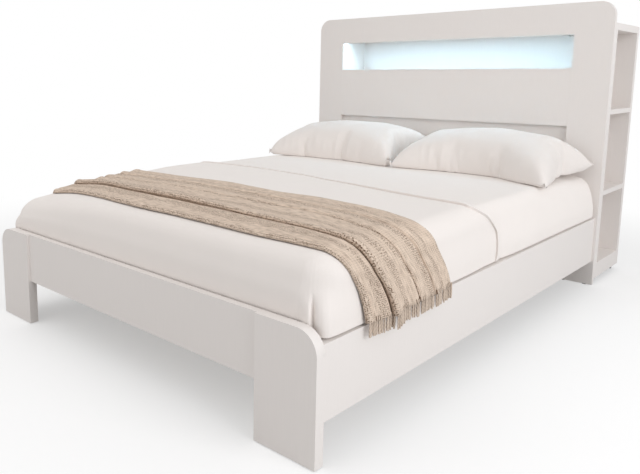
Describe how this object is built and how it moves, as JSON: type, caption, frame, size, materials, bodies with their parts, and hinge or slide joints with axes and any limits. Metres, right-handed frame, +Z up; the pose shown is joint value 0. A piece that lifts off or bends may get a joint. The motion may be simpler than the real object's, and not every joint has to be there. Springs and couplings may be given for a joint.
{
  "type": "storage headboard bed",
  "caption": "White panel bed with a cabinet headboard: a lit niche across the front, open shelf towers at its ends, slats, mattress, pillows and a knitted throw.",
  "frame": {"origin": "on the floor, at the middle of the whole bed", "axes": "+Z up, +Y from the foot towards the headboard, +X to the right for someone who stands at the foot"},
  "size_m": [1.624, 2.475, 1.292],
  "materials": {
    "white_laminate": "satin white laminate with faint upright grain",
    "pine": "planed pine",
    "webbing": "woven polypropylene tape",
    "black_steel": "black powder coat",
    "zinc_fasteners": "zinc plated",
    "grey_nylon": "moulded nylon",
    "anodised_aluminium": "satin anodised",
    "opal_diffuser": "opal, lit cool white",
    "white_plastic": "moulded",
    "black_plastic": "moulded",
    "ticking": "knitted mattress ticking",
    "cotton_sheet": "percale cotton",
    "quilted_cotton": "smooth filled cotton cover",
    "beige_knit": "openwork knit"
  },
  "bodies": {
    "frame": {"footboard_leg_left": "white_laminate", "footboard_leg_right": "white_laminate", "footboard_panel": "white_laminate", "side_rail_left": "white_laminate", "side_rail_right": "white_laminate", "headboard_post_left": "white_laminate", "headboard_post_right": "white_laminate", "headboard_top_rail": "white_laminate", "headboard_middle_panel": "white_laminate", "headboard_lower_panel": "white_laminate", "headboard_top_board": "white_laminate", "tower_partition_left": "white_laminate", "tower_partition_right": "white_laminate", "tower_front_upright_left": "white_laminate", "tower_front_upright_right": "white_laminate", "tower_back_upright_left": "white_laminate", "tower_back_upright_right": "white_laminate", "tower_upper_shelf_left": "white_laminate", "tower_upper_shelf_right": "white_laminate", "tower_lower_shelf_left": "white_laminate", "tower_lower_shelf_right": "white_laminate", "tower_floor_left": "white_laminate", "tower_floor_right": "white_laminate", "tower_plinth_left": "white_laminate", "tower_plinth_right": "white_laminate", "niche_floor": "white_laminate", "niche_back": "white_laminate", "headboard_bottom_board": "white_laminate", "headboard_back_panel": "white_laminate", "slat_ledge_left": "pine", "slat_ledge_right": "pine", "slats": "pine", "centre_beam": "pine", "centre_leg_foot": "pine", "centre_leg_middle": "pine", "centre_leg_head": "pine", "shelf_dowels": "pine", "slat_straps": "webbing", "rail_brackets": "black_steel", "beam_hanger_foot": "black_steel", "beam_hanger_head": "black_steel", "rail_bolts": "zinc_fasteners", "rail_screws": "zinc_fasteners", "hanger_screws": "zinc_fasteners", "floor_glides": "grey_nylon", "headboard_feet": "grey_nylon", "light_channel": "anodised_aluminium", "light_diffuser": "opal_diffuser", "light_strip": "opal_diffuser", "light_driver": "white_plastic", "light_lead": "white_plastic", "power_outlet_body": "white_plastic", "power_outlet_plate": "white_plastic", "power_inlet": "black_plastic"},
    "mattress": {"mattress": "ticking", "fitted_sheet": "cotton_sheet", "bed_cover": "quilted_cotton"},
    "pillow_left": {"pillow_left": "cotton_sheet"},
    "pillow_right": {"pillow_right": "cotton_sheet"},
    "throw": {"throw_blanket": "beige_knit"}
  },
  "joints": [
    {"name": "mattress_lift", "type": "slide", "parent": "frame", "child": "mattress", "axis": [0, 0, 1], "range_m": [0, 0.3]},
    {"name": "pillow_left_lift", "type": "slide", "parent": "mattress", "child": "pillow_left", "axis": [0, 0, 1], "range_m": [0, 0.25]},
    {"name": "pillow_right_lift", "type": "slide", "parent": "mattress", "child": "pillow_right", "axis": [0, 0, 1], "range_m": [0, 0.25]},
    {"name": "throw_lift", "type": "slide", "parent": "mattress", "child": "throw", "axis": [0, 0, 1], "range_m": [0, 0.3]}
  ]
}
